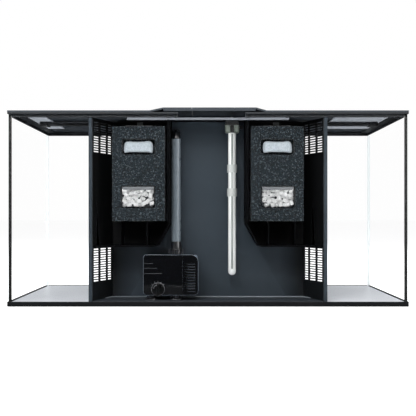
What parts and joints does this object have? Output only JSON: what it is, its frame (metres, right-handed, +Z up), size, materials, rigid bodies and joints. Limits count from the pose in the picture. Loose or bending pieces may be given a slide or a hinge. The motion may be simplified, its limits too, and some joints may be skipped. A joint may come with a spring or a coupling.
{
  "type": "aquarium with rear filter compartment",
  "caption": "Wide glass aquarium with a hood and lamp, and a black filter compartment behind its rear pane holding foam cartridges, a pump with a return hose and a heater.",
  "frame": {"origin": "centre of the base trim's underside, on the surface that the tank stands on", "axes": "+X to the right as seen from the service side, -Y towards the service side with the filter compartment, +Z up"},
  "size_m": [0.82, 0.39, 0.4065],
  "materials": {
    "base_trim": "satin",
    "clear_glass": "polished",
    "black_silicone": "satin",
    "clear_silicone": "satin",
    "top_frame": "satin",
    "rail": "satin",
    "hood": "satin",
    "steel": "brushed",
    "liner": "matt",
    "lamp_black": "satin",
    "lamp_lens": "frosted",
    "led_board": "matt",
    "compartment": "satin",
    "divider": "satin",
    "foam": "open-cell foam",
    "handle": "satin",
    "fleece": "fibrous",
    "ceramic_media": "unglazed",
    "pump": "gloss",
    "fitting": "gloss",
    "magnet": "ground ferrite",
    "shaft_ceramic": "polished",
    "dial": "satin",
    "black_rubber": "satin",
    "hose": "translucent",
    "heater_glass": "polished",
    "heater_ceramic": "unglazed",
    "heater_head": "satin",
    "clip_rubber": "matt"
  },
  "bodies": {
    "tank": {"base_trim": "base_trim", "bottom_glass": "clear_glass", "rear_glass": "clear_glass", "front_glass": "clear_glass", "left_glass": "clear_glass", "right_glass": "clear_glass", "corner_seal_front_left": "clear_silicone", "corner_seal_front_right": "clear_silicone", "corner_seal_rear_left": "black_silicone", "corner_seal_rear_right": "black_silicone", "top_frame": "top_frame", "top_rail": "rail", "compartment_shell": "compartment", "compartment_floor": "compartment", "divider_left": "divider", "divider_right": "divider", "pump_housing": "pump", "pump_intake_cover": "pump", "volute_cover": "fitting", "impeller_shaft": "shaft_ceramic", "pump_foot_front_left": "black_rubber", "pump_foot_front_right": "black_rubber", "pump_foot_rear_left": "black_rubber", "pump_foot_rear_right": "black_rubber", "pump_cable_gland": "black_rubber", "pump_outlet": "fitting", "union_nut": "fitting", "hose_connector": "fitting", "return_hose": "hose", "return_elbow": "fitting", "nozzle_nut": "fitting", "heater_tube": "heater_glass", "heater_element": "heater_ceramic", "heater_head": "heater_head", "heater_collar": "divider", "heater_cable_gland": "black_rubber", "heater_clip_lower": "clip_rubber", "heater_clip_upper": "clip_rubber"},
    "hood": {"hood_shell": "hood", "flap_hinge_pin": "steel", "hood_liner_left": "liner", "hood_liner_right": "liner", "lamp_housing": "lamp_black", "lamp_lens": "lamp_lens", "led_board": "led_board", "lamp_bracket_left": "lamp_black", "lamp_bracket_right": "lamp_black"},
    "service_flap": {"service_flap": "hood"},
    "impeller": {"impeller": "magnet"},
    "flow_dial": {"flow_dial": "dial"},
    "heater_knob": {"heater_knob": "heater_head"},
    "return_nozzle": {"return_nozzle": "fitting"},
    "cartridge_left": {"foam_block_left": "foam", "cartridge_handle_left": "handle", "fleece_pouch_left": "fleece", "ceramic_media_bag_left": "ceramic_media"},
    "cartridge_right": {"foam_block_right": "foam", "cartridge_handle_right": "handle", "fleece_pouch_right": "fleece", "ceramic_media_bag_right": "ceramic_media"}
  },
  "joints": [
    {"name": "hood_lift", "type": "slide", "parent": "tank", "child": "hood", "axis": [0, 0, 1], "range_m": [0, 0.1]},
    {"name": "service_flap_hinge", "type": "hinge", "parent": "hood", "child": "service_flap", "pos_m": [0.0107, -0.067, 0.4046], "axis": [-1, 0, 0], "range_deg": [0, 95]},
    {"name": "cartridge_left_lift", "type": "slide", "parent": "tank", "child": "cartridge_left", "axis": [0, 0, 1], "range_m": [0, 0.01]},
    {"name": "cartridge_right_lift", "type": "slide", "parent": "tank", "child": "cartridge_right", "axis": [0, 0, 1], "range_m": [0, 0.01]},
    {"name": "impeller_spin", "type": "hinge", "parent": "tank", "child": "impeller", "pos_m": [-0.112, -0.1501, 0.0617], "axis": [1, 0, 0], "continuous": true},
    {"name": "flow_dial_turn", "type": "hinge", "parent": "tank", "child": "flow_dial", "pos_m": [-0.103, -0.1792, 0.0342], "axis": [0, -1, 0], "range_deg": [-90, 90]},
    {"name": "heater_knob_turn", "type": "hinge", "parent": "tank", "child": "heater_knob", "pos_m": [0.0505, -0.145, 0.3838], "axis": [0, 0, 1], "range_deg": [-140, 140]},
    {"name": "return_nozzle_swivel", "type": "hinge", "parent": "tank", "child": "return_nozzle", "pos_m": [-0.0668, -0.1024, 0.36], "axis": [0, 1, 0], "range_deg": [-45, 45]}
  ]
}
